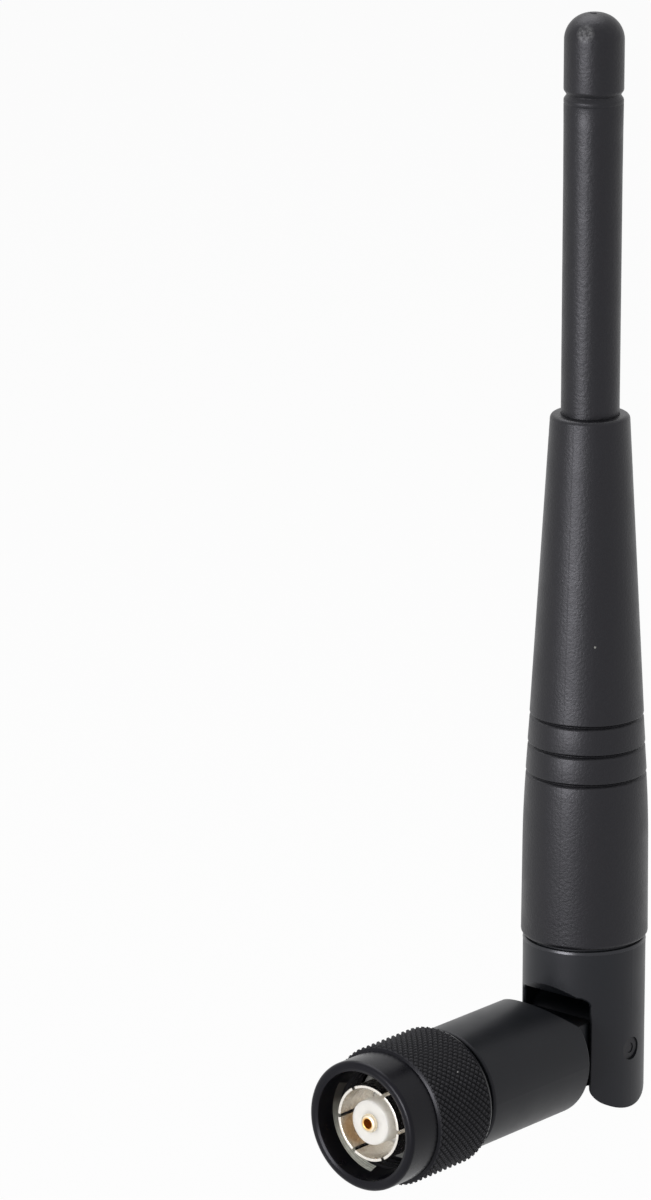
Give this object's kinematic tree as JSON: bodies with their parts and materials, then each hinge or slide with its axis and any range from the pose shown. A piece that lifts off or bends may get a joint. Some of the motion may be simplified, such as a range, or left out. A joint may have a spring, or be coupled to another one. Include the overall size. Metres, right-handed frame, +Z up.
{
  "type": "articulated whip antenna",
  "caption": "Slim tapered whip antenna on a right-angle hinge, with a swivelling elbow and a threaded coaxial plug.",
  "frame": {"origin": "on the plug's axis, at the tips of the slotted outer contact", "axes": "-Y is the way the plug mates, +Z runs up along the whip at rest, and X lies along the hinge pins"},
  "size_m": [0.0144, 0.0422, 0.114],
  "materials": {
    "moulded_black": "fine matte grain",
    "satin_black": "smooth satin",
    "black_plate": "satin black plating",
    "pin_black": "satin",
    "nickel": "bright plating",
    "spring_steel": "bright",
    "gold_plate": "gold plating",
    "brass": "drawn",
    "white_insulator": "waxy",
    "grey_rubber": "soft",
    "cable_jacket": "glossy tape-wrapped jacket",
    "braid": "silvered braid",
    "core_white": "smooth",
    "bead": "natural",
    "shrink_black": "heat-shrink"
  },
  "bodies": {
    "connector": {"connector_body": "black_plate", "outer_contact": "nickel", "insulator": "white_insulator", "centre_socket": "gold_plate", "face_gasket": "grey_rubber", "nut_ring": "spring_steel", "elbow_ring": "spring_steel", "crimped_braid": "braid", "crimp_ferrule": "nickel", "front_core": "core_white"},
    "nut": {"coupling_nut": "black_plate"},
    "elbow": {"elbow_barrel": "satin_black", "coax_cable": "cable_jacket"},
    "whip": {"knuckle": "satin_black", "hinge_pin_right": "pin_black", "hinge_pin_left": "pin_black", "tapered_boot": "moulded_black", "whip_tube": "moulded_black", "tip_cap": "moulded_black", "dipole_sleeve": "brass", "feed_braid": "braid", "feed_core": "core_white", "upper_radiator": "brass", "sleeve_bead": "bead", "radiator_bead": "bead", "feed_shrink": "shrink_black"}
  },
  "joints": [
    {"name": "nut_spin", "type": "hinge", "parent": "connector", "child": "nut", "pos_m": [0, 0.005, 0], "axis": [0, 1, 0], "continuous": true},
    {"name": "elbow_swivel", "type": "hinge", "parent": "connector", "child": "elbow", "pos_m": [0, 0.0145, 0], "axis": [0, 1, 0], "range_deg": [-180, 180]},
    {"name": "whip_hinge", "type": "hinge", "parent": "elbow", "child": "whip", "pos_m": [0, 0.03445, 0], "axis": [1, 0, 0], "range_deg": [-90, 0], "deforming": ["coax_cable"]}
  ]
}
